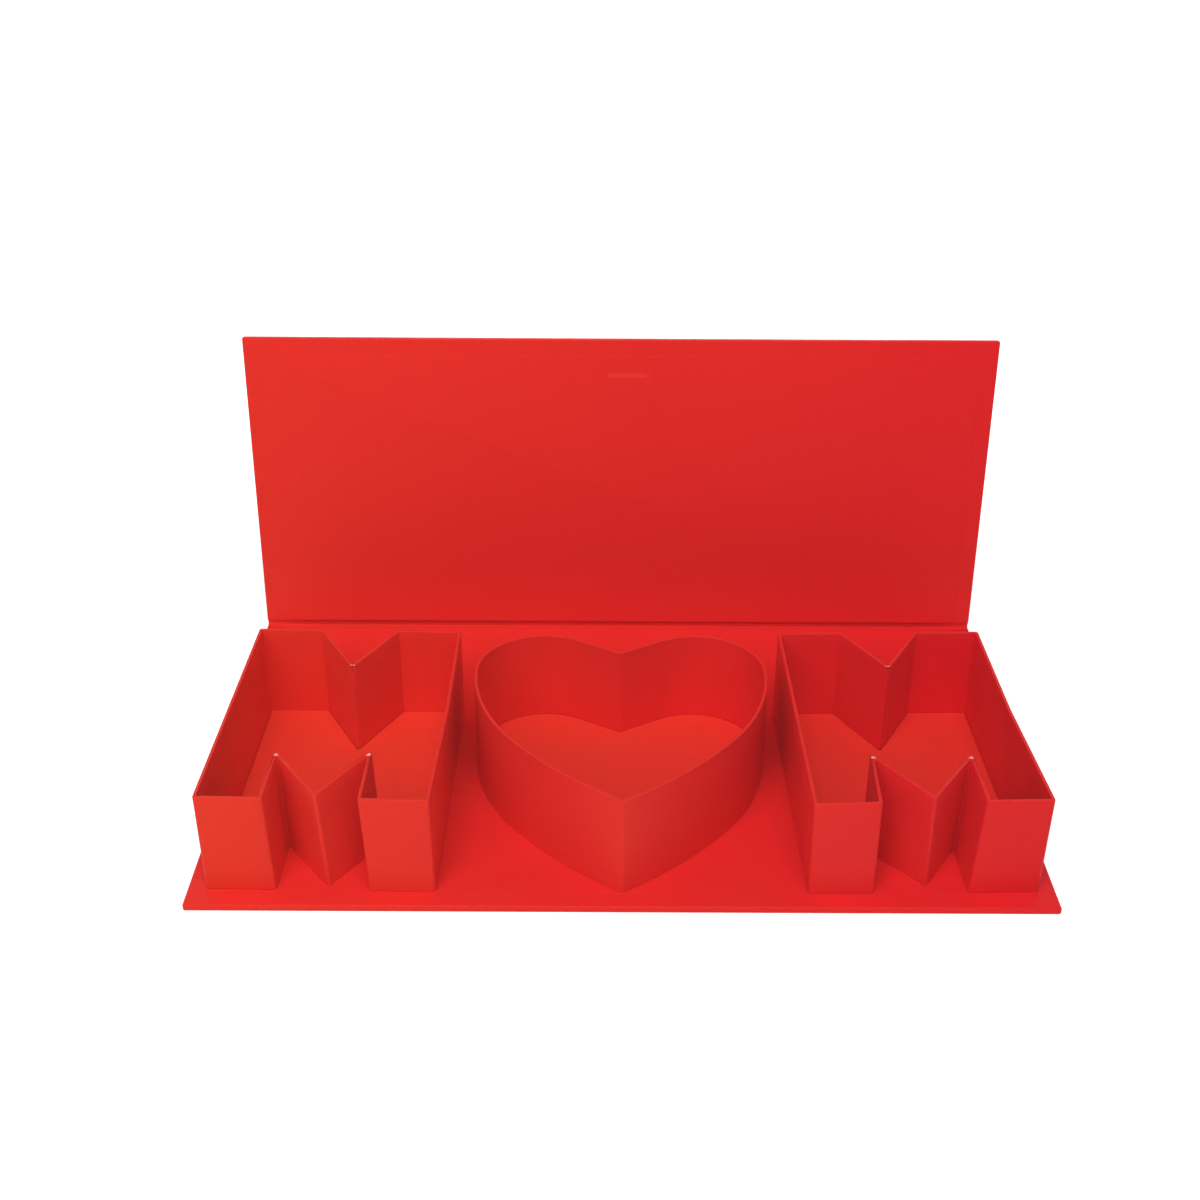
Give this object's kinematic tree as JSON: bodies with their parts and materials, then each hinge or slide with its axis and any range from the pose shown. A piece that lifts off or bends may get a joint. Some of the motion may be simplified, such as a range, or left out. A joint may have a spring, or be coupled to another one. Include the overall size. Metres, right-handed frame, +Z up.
{
  "type": "hinged-lid gift box with open trays",
  "caption": "Red paper-covered rigid gift box: a flat base and a book-style lid joined by a spine, with open letter-shaped and heart-shaped trays glued to the base.",
  "frame": {"origin": "middle of the underside of the base, on the surface the box stands on", "axes": "+X along the box's width, to the right seen from the front; +Y from the front edge to the hinges; +Z up"},
  "size_m": [0.4512, 0.2694, 0.2128],
  "materials": {
    "red_wrap_paper": "satin",
    "red_lining_paper": "satin",
    "greyboard": "matte",
    "white_wall_board": "matte"
  },
  "bodies": {
    "base": {"base_board": "greyboard", "base_wrap": "red_wrap_paper", "base_lining": "red_lining_paper", "rear_hinge_cover": "red_wrap_paper", "rear_hinge_lining": "red_lining_paper", "left_letter_wall_board": "white_wall_board", "left_letter_wrap": "red_wrap_paper", "left_letter_floor_board": "greyboard", "left_letter_floor_lining": "red_lining_paper", "right_letter_wall_board": "white_wall_board", "right_letter_wrap": "red_wrap_paper", "right_letter_floor_board": "greyboard", "right_letter_floor_lining": "red_lining_paper", "heart_wall_board_left": "white_wall_board", "heart_wall_board_right": "white_wall_board", "heart_wrap": "red_wrap_paper", "heart_floor_board": "greyboard", "heart_floor_lining": "red_lining_paper"},
    "spine": {"spine_board": "greyboard", "spine_wrap": "red_wrap_paper", "spine_lining": "red_lining_paper", "lid_hinge_cover": "red_wrap_paper", "lid_hinge_lining": "red_lining_paper"},
    "lid": {"lid_board": "greyboard", "lid_wrap": "red_wrap_paper", "lid_lining": "red_lining_paper"}
  },
  "joints": [
    {"name": "spine_hinge", "type": "hinge", "parent": "base", "child": "spine", "pos_m": [0, 0.098, 0], "axis": [1, 0, 0], "range_deg": [-19, 71], "deforming": ["rear_hinge_cover", "rear_hinge_lining"]},
    {"name": "lid_hinge", "type": "hinge", "parent": "spine", "child": "lid", "pos_m": [0, 0.16211, 0.02207], "axis": [1, 0, 0], "range_deg": [-66.7, 23.3], "deforming": ["lid_hinge_cover", "lid_hinge_lining"]}
  ]
}
